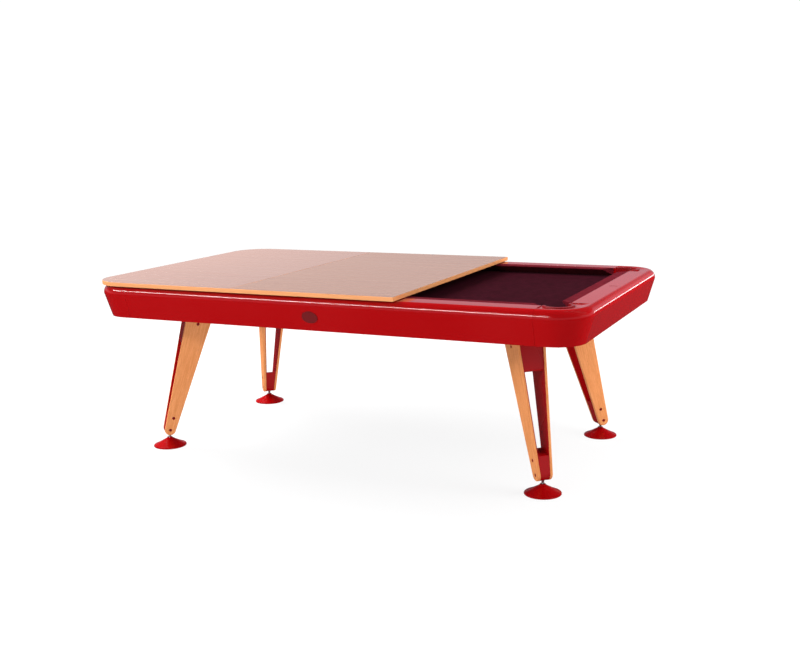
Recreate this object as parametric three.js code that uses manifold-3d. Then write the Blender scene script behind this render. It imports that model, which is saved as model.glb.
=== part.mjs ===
// Seven-foot pool table with lift-off dining boards, on four splayed legs with levelling feet.
// Millimetres, +Z up, +X along the table, origin on the floor under the middle of the bed.
// Left is -X, right is +X, front is -Y, back is +Y.

import * as THREE from 'three';
import { mergeVertices } from 'three/addons/utils/BufferGeometryUtils.js';
import Module from 'manifold-3d';

const wasm = await Module();
wasm.setup();

// ---- driving dimensions ----

const gap = 0.3; // clearance between pieces that touch

const body = { length: 2260, width: 1306, cornerRadius: 150, railTop: 777, bottom: 635 };
const skin = {
  thickness: 3, noseDepth: 30, noseHeight: 37, bottomInset: 31, bottomLip: 18,
  flatWidth: 105, innerLipBottom: 742,
  cornerStep: 3, stepWidth: 10, // the corner castings are dished round their pockets
};
const seamPlace = { x: 936, y: 455 }; // where the straight rails meet the corner castings
const play = { length: 1956, width: 1002, clothTop: 741, clothThickness: 1 };
const slate = { length: 2124, width: 1166, thickness: 25 };
const cushion = { noseTop: 776.5, noseDrop: 5, backBottom: 741.5, noseRadius: 2 };
const cushionEnd = { cornerNose: 895, cornerBack: 932, middleNose: 66, middleBack: 65 };
const pocket = { radius: 48, wall: 3, lip: 12, lipTop: 778.7, cupBottom: 656, cupRadius: 46 };
const pocketPlace = { cornerX: 995, cornerY: 523, middleY: 556 };
const boards = { thickness: 18, underside: 779, overhang: 4, seam: -382, rightEdge: 374 };
const frame = {
  beamY: 330, beamWidth: 60, beamLength: 2000, crossWidth: 80, wall: 3, underside: 651.5,
};
const badge = { width: 73, height: 53, thickness: 2, x: -10, z: 694 };

const foot = { x: 909, y: 436, radius: 75, rim: 6, coneTop: 38, bossRadius: 12, bossTop: 41 };
const stem = { radius: 6, collarRadius: 9, collarBottom: 24, collarTop: 29, top: 73 };
const leg = {
  angle: 44, // the leg's upright plane, degrees from the long axis
  endHeight: 80, endRadius: 25.2, endShift: -1.4, // round lower end
  outerLean: 13.5, innerLean: 20.4, // degrees from upright
  top: 644, halfGapAtEnd: 21.1, splay: 3.47, // two sides of a V, degrees each
  steel: 3, wood: 12,
  webBottom: 480, blockOuterTop: 157, blockInnerTop: 170,
};
const legPlate = { inner: -262, outer: -92, halfWidth: 72, thickness: 6 };
const bolt = { radius: 4, headRadius: 7, headThickness: 4, countersink: 3, upper: 574, lower: 136 };
const segments = { pocket: 24, corner: 8, bullnose: 5, boardCorner: 12, foot: 24, stem: 12, bolt: 10 };

const railInnerEdge = skin.flatWidth;
const cornerCentre = {
  x: body.length / 2 - body.cornerRadius,
  y: body.width / 2 - body.cornerRadius,
};
const crease = body.railTop - skin.noseHeight; // where the bullnose meets the sloping skirt
const slateTop = play.clothTop - play.clothThickness - gap;

// ---- finishes ----

const finish = (color, roughness, metalness) =>
  new THREE.MeshStandardMaterial({ color, roughness, metalness });
const redEnamel = finish('#a80507', 0.3, 0.0);
const redPlastic = finish('#9a1016', 0.25, 0.0);
const oak = finish('#dc9560', 0.5, 0.0);
const paleOak = finish('#ddbaac', 0.45, 0.0);
const bedCloth = finish('#5a1624', 0.95, 0.0);
const greySlate = finish('#4a4d52', 0.8, 0.0);
const blackSteel = finish('#1d1d1f', 0.5, 0.6);
const zincSteel = finish('#c8c8c4', 0.35, 0.9);
const badgeEnamel = finish('#7c1114', 0.3, 0.2);

// ---- helpers ----

const degrees = THREE.MathUtils.degToRad;

// A closed surface with shared corners and no zero-area triangles.
function weld(geometry) {
  const bare = geometry.clone();
  bare.deleteAttribute('normal');
  bare.deleteAttribute('uv');
  const merged = mergeVertices(bare, 1e-4);
  const corners = merged.index.array;
  const kept = [];
  for (let i = 0; i < corners.length; i += 3) {
    const [a, b, c] = [corners[i], corners[i + 1], corners[i + 2]];
    if (a !== b && b !== c && c !== a) kept.push(a, b, c);
  }
  merged.setIndex(kept);
  return merged;
}

function toSolid(geometry) {
  const welded = weld(geometry);
  return new wasm.Manifold(new wasm.Mesh({
    numProp: 3,
    vertProperties: new Float32Array(welded.attributes.position.array),
    triVerts: new Uint32Array(welded.index.array),
  }));
}

function toGeometry(solid) {
  const mesh = solid.getMesh();
  const geometry = new THREE.BufferGeometry();
  geometry.setAttribute('position', new THREE.BufferAttribute(mesh.vertProperties, 3));
  geometry.setIndex(new THREE.BufferAttribute(mesh.triVerts, 1));
  return geometry;
}

// A closed body through matching rings of points; outline is the ring's flat shape.
function loft(outline, rings) {
  const count = outline.length;
  const last = (rings.length - 1) * count;
  const index = [];
  for (let r = 0; r + 1 < rings.length; r++) {
    for (let i = 0; i < count; i++) {
      const a = r * count + i;
      const b = r * count + ((i + 1) % count);
      index.push(a, b, b + count, a, b + count, a + count);
    }
  }
  for (const [a, b, c] of THREE.ShapeUtils.triangulateShape(outline, [])) {
    index.push(c, b, a, last + a, last + b, last + c);
  }
  const geometry = new THREE.BufferGeometry();
  const positions = rings.flat().flatMap((point) => [point.x, point.y, point.z]);
  geometry.setAttribute('position', new THREE.Float32BufferAttribute(positions, 3));
  geometry.setIndex(index);
  return geometry;
}

// Points on a circular arc, angles in degrees.
function arc(x, y, radius, from, to, steps) {
  return Array.from({ length: steps + 1 }, (_, i) => {
    const angle = degrees(from + ((to - from) * i) / steps);
    return new THREE.Vector2(x + radius * Math.cos(angle), y + radius * Math.sin(angle));
  });
}

const point2 = (x, y) => new THREE.Vector2(x, y);

function cylinder(radius, bottom, top, sides, x = 0, y = 0) {
  const geometry = new THREE.CylinderGeometry(radius, radius, top - bottom, sides);
  geometry.rotateX(Math.PI / 2);
  geometry.translate(x, y, (top + bottom) / 2);
  return geometry;
}

function box(low, high) {
  const geometry = new THREE.BoxGeometry(high[0] - low[0], high[1] - low[1], high[2] - low[2]);
  geometry.translate((low[0] + high[0]) / 2, (low[1] + high[1]) / 2, (low[2] + high[2]) / 2);
  return geometry;
}

const table = new THREE.Group();

function add(name, geometry, material, parent = table) {
  const mesh = new THREE.Mesh(geometry, material);
  mesh.name = name;
  parent.add(mesh);
  return mesh;
}

// ---- pockets ----

const pocketList = [];
for (const [sideName, sideY] of [['front', -1], ['back', 1]]) {
  for (const [endName, endX] of [['left', -1], ['middle', 0], ['right', 1]]) {
    const y = endX === 0 ? pocketPlace.middleY : pocketPlace.cornerY;
    pocketList.push({
      name: `pocket_${sideName}_${endName}`,
      x: endX * pocketPlace.cornerX, y: sideY * y, endX, sideY,
    });
  }
}

// Tapered cup with a collar above the bed; the collar's lip rests on the rail.
function pocketSolid({ endX }) {
  const outer = pocket.radius + pocket.wall;
  const lipBottom = body.railTop + gap - (endX === 0 ? 0 : skin.cornerStep);
  const { lipTop } = pocket;
  const profile = [
    point2(0, pocket.cupBottom),
    point2(pocket.cupRadius, pocket.cupBottom),
    point2(outer, play.clothTop - slate.thickness),
    point2(outer, lipBottom),
    point2(outer + pocket.lip, lipBottom),
    point2(outer + pocket.lip, lipTop),
    point2(pocket.radius, lipTop),
    point2(pocket.radius, play.clothTop - slate.thickness),
    point2(pocket.cupRadius - pocket.wall, pocket.cupBottom + pocket.wall),
    point2(0, pocket.cupBottom + pocket.wall),
  ];
  const cup = new THREE.LatheGeometry(profile, segments.pocket);
  cup.rotateX(Math.PI / 2);
  return toSolid(cup);
}

// What is cut from the collar so that a ball can roll in from the bed.
function pocketMouth({ endX, sideY }) {
  const reach = pocket.radius + pocket.wall + pocket.lip + 5;
  const low = play.clothTop;
  const high = boards.underside;
  if (endX === 0) {
    const edge = body.width / 2 - railInnerEdge - pocketPlace.middleY;
    const ys = [sideY * edge, -sideY * reach].sort((a, b) => a - b);
    return box([-reach, ys[0], low], [reach, ys[1], high]);
  }
  const edgeX = body.length / 2 - railInnerEdge - pocketPlace.cornerX;
  const edgeY = body.width / 2 - railInnerEdge - pocketPlace.cornerY;
  const xs = [endX * edgeX, -endX * reach].sort((a, b) => a - b);
  const ys = [sideY * edgeY, -sideY * reach].sort((a, b) => a - b);
  return box([xs[0], ys[0], low], [xs[1], ys[1], high]);
}

for (const place of pocketList) {
  const open = pocketSolid(place).subtract(toSolid(pocketMouth(place)));
  add(place.name, toGeometry(open.translate(place.x, place.y, 0)), redPlastic);
}

// Cuts round holes for the pockets through a solid between two heights.
function cutPockets(solid, clearance, bottom, top, places) {
  const radius = pocket.radius + pocket.wall + clearance;
  const hole = toSolid(cylinder(radius, bottom, top, segments.pocket));
  return places.reduce((rest, place) => rest.subtract(hole.translate(place.x, place.y, 0)), solid);
}

// ---- slate bed and its cloth ----

function bedSlab(length, width, bottom, top, clearance) {
  const slab = toSolid(box([-length / 2, -width / 2, bottom], [length / 2, width / 2, top]));
  return toGeometry(cutPockets(slab, clearance, bottom - 1, top + 1, pocketList));
}

const slateBottom = slateTop - slate.thickness;
const clothBottom = play.clothTop - play.clothThickness;
add('slate_bed', bedSlab(slate.length, slate.width, slateBottom, slateTop, 0.6), greySlate);
add('bed_cloth', bedSlab(slate.length, slate.width, clothBottom, play.clothTop, 1), bedCloth);

// ---- rails: pressed skins with a flat top, a bullnose and a sloping skirt ----

// A quarter ellipse from the flat top round to the crease, as distance in and height.
function bullnose(depth, height, from, to) {
  return arc(0, 0, 1, from, to, segments.bullnose).map((p) =>
    point2(skin.noseDepth + depth * p.x, crease + height * p.y));
}

// Section of the skin, as distance in from the table's outline and height.
// step is how far the flat top is let down behind the bullnose.
function railSection(step) {
  const { thickness, noseDepth, noseHeight, bottomInset, bottomLip, innerLipBottom } = skin;
  const stepEnd = noseDepth + skin.stepWidth;
  const flatTop = body.railTop - step;
  const stepEdge = step > 0 ? [point2(stepEnd, flatTop)] : [];
  const stepInside = step > 0 ? [point2(stepEnd, flatTop - thickness)] : [];
  const drop = crease - body.bottom;
  const slopeLength = Math.hypot(bottomInset, drop);
  const across = (thickness * slopeLength) / drop; // level thickness of the sloping skirt
  const lipTop = body.bottom + thickness;
  const innerBottom = (bottomInset * (crease - lipTop)) / drop + across;
  return [
    point2(railInnerEdge, innerLipBottom),
    point2(railInnerEdge, flatTop),
    ...stepEdge,
    ...bullnose(noseDepth, noseHeight, 90, 180),
    point2(bottomInset, body.bottom),
    point2(bottomInset + bottomLip, body.bottom),
    point2(bottomInset + bottomLip, lipTop),
    point2(innerBottom, lipTop),
    ...bullnose(noseDepth - thickness, noseHeight - thickness, 180, 90),
    ...stepInside,
    point2(railInnerEdge - thickness, flatTop - thickness),
    point2(railInnerEdge - thickness, innerLipBottom),
  ];
}

// One ring of the skin where its outline passes (x, y) facing (outX, outY).
function railRing(section, x, y, outX, outY) {
  return section.map((p) => new THREE.Vector3(x - outX * p.x, y - outY * p.x, p.y));
}

const sides = {
  front: { outX: 0, outY: -1, reach: body.width / 2, half: seamPlace.x },
  right: { outX: 1, outY: 0, reach: body.length / 2, half: seamPlace.y },
  back: { outX: 0, outY: 1, reach: body.width / 2, half: seamPlace.x },
  left: { outX: -1, outY: 0, reach: body.length / 2, half: seamPlace.y },
};

function straightRail({ outX, outY, reach, half }) {
  const section = railSection(0);
  const rings = [gap / 2 - half, half - gap / 2].map((along) =>
    railRing(section, outX * reach - outY * along, outY * reach + outX * along, outX, outY));
  return loft(section, rings);
}

for (const [sideName, side] of Object.entries(sides)) {
  const middle = pocketList.filter((place) => place.endX === 0 && place.sideY === side.outY);
  const rail = toSolid(straightRail(side));
  const cut = cutPockets(rail, gap, slateTop, body.railTop + 1, middle);
  add(`rail_${sideName}`, toGeometry(cut), redEnamel);
}

const corners = [
  { name: 'front_left', endX: -1, sideY: -1, start: 180 },
  { name: 'front_right', endX: 1, sideY: -1, start: 270 },
  { name: 'back_right', endX: 1, sideY: 1, start: 0 },
  { name: 'back_left', endX: -1, sideY: 1, start: 90 },
];

const cornerSection = railSection(skin.cornerStep);

for (const corner of corners) {
  const rings = [];
  for (let i = 0; i <= segments.corner; i++) {
    const angle = degrees(corner.start + (90 * i) / segments.corner);
    const [outX, outY] = [Math.cos(angle), Math.sin(angle)];
    const x = corner.endX * cornerCentre.x + body.cornerRadius * outX;
    const y = corner.sideY * cornerCentre.y + body.cornerRadius * outY;
    rings.push(railRing(cornerSection, x, y, outX, outY));
  }
  // a straight length at each end runs to the seam with the side rail
  const seamX = corner.endX * (seamPlace.x + gap / 2);
  const seamY = corner.sideY * (seamPlace.y + gap / 2);
  const longSide = railRing(cornerSection, seamX, corner.sideY * (body.width / 2), 0, corner.sideY);
  const shortSide = railRing(cornerSection, corner.endX * (body.length / 2), seamY, corner.endX, 0);
  const startsLong = corner.start % 180 !== 0;
  rings.unshift(startsLong ? longSide : shortSide);
  rings.push(startsLong ? shortSide : longSide);
  const ownPocket = pocketList.filter(
    (place) => place.endX === corner.endX && place.sideY === corner.sideY,
  );
  const casting = toSolid(loft(cornerSection, rings));
  const cut = cutPockets(casting, gap, slateTop, body.railTop + 1, ownPocket);
  add(`rail_corner_${corner.name}`, toGeometry(cut), redEnamel);
}

// ---- cushions: cloth-covered rubber noses fixed to the rails' inner lips ----

const noseDepth = (body.length - play.length) / 2;
const cushionSection = [
  point2(railInnerEdge + gap, body.railTop),
  point2(railInnerEdge + gap, cushion.backBottom),
  point2(noseDepth - cushion.noseRadius, cushion.noseTop - cushion.noseDrop),
  point2(noseDepth, cushion.noseTop - cushion.noseDrop / 2),
  point2(noseDepth - cushion.noseRadius, cushion.noseTop),
];

// ends gives, for each end, where the mitre starts at the nose and at the back.
function cushionBody({ outX, outY, reach }, ends) {
  const rings = ends.map(({ nose, back }) => cushionSection.map((p) => {
    const inward = (p.x - railInnerEdge) / (noseDepth - railInnerEdge);
    const along = back + (nose - back) * inward;
    const out = reach - p.x;
    return new THREE.Vector3(outX * out - outY * along, outY * out + outX * along, p.y);
  }));
  return loft(cushionSection, rings);
}

const cornerCut = play.length / 2 - cushionEnd.cornerNose;
const cornerMitre = cushionEnd.cornerBack - cushionEnd.cornerNose;
const longCorner = { nose: cushionEnd.cornerNose, back: cushionEnd.cornerBack };
const longMiddle = { nose: cushionEnd.middleNose, back: cushionEnd.middleBack };
const shortNose = play.width / 2 - cornerCut;
const shortCorner = { nose: shortNose, back: shortNose + cornerMitre };
const minus = ({ nose, back }) => ({ nose: -nose, back: -back });

for (const sideName of ['front', 'back']) {
  const side = sides[sideName];
  const [first, second] = sideName === 'front' ? ['left', 'right'] : ['right', 'left'];
  const starts = cushionBody(side, [minus(longCorner), minus(longMiddle)]);
  const finishes = cushionBody(side, [longMiddle, longCorner]);
  add(`cushion_${sideName}_${first}`, starts, bedCloth);
  add(`cushion_${sideName}_${second}`, finishes, bedCloth);
}
for (const sideName of ['left', 'right']) {
  const ends = [minus(shortCorner), shortCorner];
  add(`cushion_end_${sideName}`, cushionBody(sides[sideName], ends), bedCloth);
}

// ---- sub-frame under the slate ----

function hollowBeam(length, width, height) {
  const outline = new THREE.Shape();
  const [w, h] = [width / 2, height / 2];
  outline.setFromPoints([point2(-w, -h), point2(w, -h), point2(w, h), point2(-w, h)]);
  const [a, b] = [w - frame.wall, h - frame.wall];
  const bore = new THREE.Path();
  bore.setFromPoints([point2(-a, -b), point2(-a, b), point2(a, b), point2(a, -b)]);
  outline.holes.push(bore);
  const beam = new THREE.ExtrudeGeometry(outline, { depth: length, bevelEnabled: false });
  beam.translate(0, 0, -length / 2);
  return beam;
}

const beamTop = slateBottom - gap;
const beamHeight = beamTop - frame.underside;
const beamMiddle = (beamTop + frame.underside) / 2;
for (const [sideName, sideY] of [['front', -1], ['back', 1]]) {
  const beam = add(
    `frame_beam_${sideName}`,
    hollowBeam(frame.beamLength, frame.beamWidth, beamHeight),
    blackSteel,
  );
  beam.rotation.set(Math.PI / 2, Math.PI / 2, 0);
  beam.position.set(0, sideY * frame.beamY, beamMiddle);
}
const crossLength = 2 * frame.beamY - frame.beamWidth - 2 * gap;
const cross = add(
  'frame_cross_beam',
  hollowBeam(crossLength, frame.crossWidth, beamHeight),
  blackSteel,
);
cross.rotation.set(Math.PI / 2, 0, 0);
cross.position.set(0, 0, beamMiddle);

// ---- dining boards that lie on the pocket lips ----

const boardHalfLength = body.length / 2 + boards.overhang;
const boardHalfWidth = body.width / 2 + boards.overhang;
const boardRadius = body.cornerRadius + boards.overhang;

function boardBody(left, right, roundLeft) {
  const shape = new THREE.Shape();
  const [w, r] = [boardHalfWidth, boardRadius];
  const leftEnd = roundLeft
    ? [
      ...arc(left + r, w - r, r, 90, 180, segments.boardCorner),
      ...arc(left + r, r - w, r, 180, 270, segments.boardCorner),
    ]
    : [point2(left, w), point2(left, -w)];
  shape.setFromPoints([point2(right, -w), point2(right, w), ...leftEnd]);
  const board = new THREE.ExtrudeGeometry(shape, { depth: boards.thickness, bevelEnabled: false });
  board.translate(0, 0, boards.underside);
  return board;
}

add('dining_board_left', boardBody(-boardHalfLength, boards.seam - gap / 2, true), paleOak);
add('dining_board_middle', boardBody(boards.seam + gap / 2, boards.rightEdge, false), paleOak);

// ---- blank oval badge on the front skirt ----

const skirtLean = Math.atan(skin.bottomInset / (crease - body.bottom));
const badgeInset = (crease - badge.z) * Math.tan(skirtLean);
const oval = new THREE.Shape();
oval.absellipse(0, 0, badge.width / 2, badge.height / 2, 0, 2 * Math.PI);
const badgeBody = new THREE.ExtrudeGeometry(
  oval, { depth: badge.thickness, bevelEnabled: false, curveSegments: 12 },
);
badgeBody.translate(0, 0, gap);
const badgeMesh = add('badge', badgeBody, badgeEnamel);
badgeMesh.rotation.set(Math.PI / 2 + skirtLean, 0, 0);
badgeMesh.position.set(badge.x, badgeInset - body.width / 2, badge.z);

// ---- legs: two oak boards on a forked steel core ----
// Drawn with local X out along the leg's upright plane, Y across it, and Z up from the foot.

const outerTan = Math.tan(degrees(leg.outerLean));
const innerTan = Math.tan(degrees(leg.innerLean));
const outerEdge = (z) =>
  leg.endShift + leg.endRadius / Math.cos(degrees(leg.outerLean)) - outerTan * (z - leg.endHeight);
const innerEdge = (z) =>
  leg.endShift - leg.endRadius / Math.cos(degrees(leg.innerLean)) - innerTan * (z - leg.endHeight);
const middleLine = (z) => (outerEdge(z) + innerEdge(z)) / 2;
const halfGap = (z) => leg.halfGapAtEnd + Math.tan(degrees(leg.splay)) * (z - leg.endHeight);

// The leg's side view up to a slanting cut: a tapered blade with a round lower end.
function bladeOutline(outerTop, innerTop) {
  return [
    point2(innerEdge(innerTop), innerTop),
    ...arc(leg.endShift, leg.endHeight, leg.endRadius, leg.innerLean - 180, leg.outerLean, 8),
    point2(outerEdge(outerTop), outerTop),
  ];
}

// A plate with that side view between two upright or splayed faces.
function plate(outline, fromY, toY) {
  const ring = (faceY) => outline.map((p) => new THREE.Vector3(p.x, faceY(p.y), p.y));
  return loft(outline, [ring(toY), ring(fromY)]);
}

const wholeBlade = bladeOutline(leg.top, leg.top);
const boltPlaces = [
  { name: 'upper', x: middleLine(bolt.upper), z: bolt.upper },
  { name: 'lower', x: middleLine(bolt.lower), z: bolt.lower },
  { name: 'end', x: leg.endShift, z: leg.endHeight },
];

function boltHole(radius, place, fromY, toY) {
  const hole = new THREE.CylinderGeometry(radius, radius, toY - fromY, segments.bolt);
  hole.translate(place.x, (fromY + toY) / 2, place.z);
  return toSolid(hole);
}

function legCore() {
  const plateBottom = leg.top + 1;
  const overlap = 0.5; // welded joints run into each other by this much
  const flanges = [-1, 1].map((side) => {
    const outerFace = (z) => side * halfGap(z);
    const innerFace = (z) => side * (halfGap(z) - leg.steel);
    const tall = bladeOutline(plateBottom + overlap, plateBottom + overlap);
    return toSolid(side > 0 ? plate(tall, innerFace, outerFace) : plate(tall, outerFace, innerFace));
  });
  const between = (z) => halfGap(z) - leg.steel + overlap;
  const minusBetween = (z) => -between(z);
  const webTop = plateBottom + overlap;
  const web = [
    point2(outerEdge(webTop) - leg.steel, webTop),
    point2(outerEdge(leg.webBottom) - leg.steel, leg.webBottom),
    point2(outerEdge(leg.webBottom), leg.webBottom),
    point2(outerEdge(webTop), webTop),
  ];
  const block = bladeOutline(leg.blockOuterTop, leg.blockInnerTop);
  const topPlate = box(
    [legPlate.inner, -legPlate.halfWidth, plateBottom],
    [legPlate.outer, legPlate.halfWidth, plateBottom + legPlate.thickness],
  );
  let core = flanges[0].add(flanges[1]);
  core = core.add(toSolid(plate(web, minusBetween, between)));
  core = core.add(toSolid(plate(block, minusBetween, between)));
  core = core.add(toSolid(topPlate));
  for (const place of boltPlaces) {
    const reach = legPlate.halfWidth;
    core = core.subtract(boltHole(bolt.radius + gap, place, -reach, reach));
  }
  const threadHole = cylinder(stem.radius + gap, 0, stem.top + gap, segments.stem);
  return toGeometry(core.subtract(toSolid(threadHole)));
}

function legBoard(side) {
  const near = (z) => side * (halfGap(z) + gap);
  const far = (z) => side * (halfGap(z) + gap + leg.wood);
  let board = toSolid(side > 0 ? plate(wholeBlade, near, far) : plate(wholeBlade, far, near));
  for (const place of boltPlaces) {
    const face = halfGap(place.z) + gap + leg.wood;
    const reach = [side * (face - bolt.countersink), side * (face + 5)].sort((a, b) => a - b);
    board = board.subtract(boltHole(bolt.radius + gap, place, -legPlate.halfWidth, legPlate.halfWidth));
    board = board.subtract(boltHole(bolt.headRadius + gap, place, ...reach));
  }
  return toGeometry(board);
}

// Through-bolt with a low round head sunk in each board.
function boltBody(z) {
  const face = halfGap(z) + gap + leg.wood;
  const headInner = face - bolt.countersink + gap;
  const headOuter = headInner + bolt.headThickness;
  const profile = [
    point2(0, -headOuter), point2(bolt.headRadius, -headOuter),
    point2(bolt.headRadius, -headInner), point2(bolt.radius, -headInner),
    point2(bolt.radius, headInner), point2(bolt.headRadius, headInner),
    point2(bolt.headRadius, headOuter), point2(0, headOuter),
  ];
  return new THREE.LatheGeometry(profile, segments.bolt);
}

// ---- levelling feet ----

function stemBody() {
  const profile = [
    point2(0, stem.collarBottom), point2(stem.collarRadius, stem.collarBottom),
    point2(stem.collarRadius, stem.collarTop), point2(stem.radius, stem.collarTop),
    point2(stem.radius, stem.top), point2(0, stem.top),
  ];
  return new THREE.LatheGeometry(profile, segments.stem).rotateX(Math.PI / 2);
}

// Cone-shaped foot that swivels on the stem's collar.
function footBody() {
  const neck = stem.radius + gap;
  const chamber = stem.collarRadius + gap;
  const profile = [
    point2(0, 0), point2(foot.radius, 0), point2(foot.radius, foot.rim),
    point2(foot.bossRadius, foot.coneTop), point2(foot.bossRadius, foot.bossTop),
    point2(neck, foot.bossTop), point2(neck, stem.collarTop + gap),
    point2(chamber, stem.collarTop + gap), point2(chamber, stem.collarBottom - gap),
    point2(0, stem.collarBottom - gap),
  ];
  return new THREE.LatheGeometry(profile, segments.foot).rotateX(Math.PI / 2);
}

const legShapes = { core: legCore(), boardLeft: legBoard(-1), boardRight: legBoard(1) };

for (const corner of corners) {
  const group = new THREE.Group();
  group.position.set(corner.endX * foot.x, corner.sideY * foot.y, 0);
  const outAngle = Math.atan2(
    corner.sideY * Math.sin(degrees(leg.angle)),
    corner.endX * Math.cos(degrees(leg.angle)),
  );
  group.rotation.z = outAngle;
  table.add(group);
  add(`leg_core_${corner.name}`, legShapes.core, redEnamel, group);
  add(`leg_board_left_${corner.name}`, legShapes.boardLeft, oak, group);
  add(`leg_board_right_${corner.name}`, legShapes.boardRight, oak, group);
  for (const place of boltPlaces) {
    const mesh = add(`leg_bolt_${place.name}_${corner.name}`, boltBody(place.z), redEnamel, group);
    mesh.position.set(place.x, 0, place.z);
  }
  add(`foot_stem_${corner.name}`, stemBody(), zincSteel, group);
  add(`foot_disc_${corner.name}`, footBody(), redEnamel, group);
}

export default table;
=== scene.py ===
import math

import bmesh
import bpy
import numpy as np
from mathutils import Matrix, Vector


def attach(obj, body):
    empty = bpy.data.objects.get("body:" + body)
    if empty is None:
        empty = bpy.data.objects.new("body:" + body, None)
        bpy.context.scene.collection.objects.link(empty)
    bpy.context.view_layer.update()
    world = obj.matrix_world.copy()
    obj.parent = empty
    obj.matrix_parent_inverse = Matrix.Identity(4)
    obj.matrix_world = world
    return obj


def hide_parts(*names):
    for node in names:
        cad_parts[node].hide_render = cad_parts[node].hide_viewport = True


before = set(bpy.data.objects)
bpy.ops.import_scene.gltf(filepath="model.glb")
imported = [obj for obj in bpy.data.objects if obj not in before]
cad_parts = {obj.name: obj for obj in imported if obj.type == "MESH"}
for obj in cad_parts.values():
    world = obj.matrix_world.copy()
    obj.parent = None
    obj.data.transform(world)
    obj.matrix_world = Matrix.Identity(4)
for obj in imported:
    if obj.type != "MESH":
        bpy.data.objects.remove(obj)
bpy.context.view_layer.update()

mm = 0.001
scene = bpy.context.scene
scene.view_settings.view_transform = "Standard"  # colours stay as they are mixed


# small helpers for shapes


def linear(hexColour, alpha=1.0):
    channels = [int(hexColour[i : i + 2], 16) / 255 for i in (1, 3, 5)]
    return (*[c / 12.92 if c <= 0.04045 else ((c + 0.055) / 1.055) ** 2.4 for c in channels], alpha)


def arcPoints(x, y, radius, start, end, steps, rise=None):
    # points on a circular arc, or on an ellipse where rise is its upright radius; angles in degrees
    rise = radius if rise is None else rise
    angles = [math.radians(start + (end - start) * i / steps) for i in range(steps + 1)]
    return [(x + radius * math.cos(a), y + rise * math.sin(a)) for a in angles]


def roundedLevels(low, high, lowRound, highRound, steps):
    # (how far in from the outline, level) through a plate whose two edges are rounded over
    angles = [math.radians(a) for a in np.linspace(0, 90, steps)]
    lower = [(lowRound * (1 - math.sin(a)), low + lowRound * (1 - math.cos(a))) for a in angles]
    upper = [(highRound * (1 - math.sin(a)), high - highRound * (1 - math.cos(a))) for a in angles]
    return lower + upper[::-1]


def makePiece(name, points, faces, material, sharpAngle=40):
    mesh = bpy.data.meshes.new(name)
    mesh.from_pydata([tuple(p) for p in points], [], faces)
    mesh.materials.append(material)
    piece = bpy.data.objects.new(name, mesh)
    scene.collection.objects.link(piece)
    tidyNormals(piece, sharpAngle)
    return piece


def tidyNormals(piece, sharpAngle=40):
    # joins doubled points, turns every face outwards and shades curves smooth
    work = bmesh.new()
    work.from_mesh(piece.data)
    bmesh.ops.remove_doubles(work, verts=work.verts, dist=1e-6)
    bmesh.ops.recalc_face_normals(work, faces=work.faces)
    work.to_mesh(piece.data)
    work.free()
    piece.data.shade_smooth()
    piece.data.set_sharp_from_angle(angle=math.radians(sharpAngle))


def sweep(rings, closedPath=False, caps=True):
    # a skin over matching closed rings of points, with an n-gon cap at each end
    count = len(rings[0])
    points = [p for ring in rings for p in ring]
    last = len(rings) - (0 if closedPath else 1)
    faces = []
    for r in range(last):
        a, b = r * count, ((r + 1) % len(rings)) * count
        faces += [(a + i, a + (i + 1) % count, b + (i + 1) % count, b + i) for i in range(count)]
    if caps and not closedPath:
        end = (len(rings) - 1) * count
        faces += [tuple(range(count))[::-1], tuple(range(end, end + count))]
    return points, faces


def spin(profile, steps, centre=(0, 0), start=0.0, turn=360.0):
    # turns a closed (radius, height) profile about an upright line
    whole = abs(turn) >= 360
    angles = [math.radians(start + turn * i / steps) for i in range(steps + (0 if whole else 1))]
    rings = [
        [(centre[0] + r * math.cos(a), centre[1] + r * math.sin(a), z) for r, z in profile]
        for a in angles
    ]
    return sweep(rings, closedPath=whole)


def roundCutter(centre, radius, low, high, material, steps=96):
    # an upright round tool for cutAway
    profile = [(0, low), (radius, low), (radius, high), (0, high)]
    return makePiece("cutter", *spin(profile, steps, centre), material)


def joined(*parts):
    points, faces = [], []
    for morePoints, moreFaces in parts:
        offset = len(points)
        points += morePoints
        faces += [tuple(i + offset for i in face) for face in moreFaces]
    return points, faces


def applyModifiers(piece):
    graph = bpy.context.evaluated_depsgraph_get()
    solid = bpy.data.meshes.new_from_object(piece.evaluated_get(graph))
    solid.name = piece.name
    piece.modifiers.clear()
    piece.data = solid
    return piece


def cutAway(piece, cutters):
    for cutter in cutters:
        cut = piece.modifiers.new("cut", "BOOLEAN")
        cut.operation, cut.solver, cut.object = "DIFFERENCE", "EXACT", cutter
    applyModifiers(piece)
    for cutter in cutters:
        bpy.data.objects.remove(cutter)
    return piece


def softenEdges(piece, width, steps=2, angle=50):
    bevel = piece.modifiers.new("soften", "BEVEL")
    bevel.width, bevel.segments = width, steps
    bevel.limit_method, bevel.angle_limit = "ANGLE", math.radians(angle)
    bevel.use_clamp_overlap = True
    return applyModifiers(piece)


def finishPiece(piece, body, nodes=()):
    # large flat faces keep their own direction where they run into a rolled edge
    weigh = piece.modifiers.new("weigh", "WEIGHTED_NORMAL")
    weigh.mode, weigh.weight, weigh.keep_sharp = "FACE_AREA", 50, True
    applyModifiers(piece)
    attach(piece, body)
    if nodes:
        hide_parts(*nodes)
    return piece


# small helpers for materials and Geometry Nodes


def addNode(tree, kind, inputs=None, **settings):
    node = tree.nodes.new(kind)
    for name, value in settings.items():
        setattr(node, name, value)
    for name, value in (inputs or {}).items():
        if isinstance(value, bpy.types.NodeSocket):
            tree.links.new(value, node.inputs[name])
        else:
            node.inputs[name].default_value = value
    return node


def emptyMaterial(name):
    material = bpy.data.materials.new(name)
    material.use_nodes = True
    material.node_tree.nodes.clear()
    return material, material.node_tree


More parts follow.
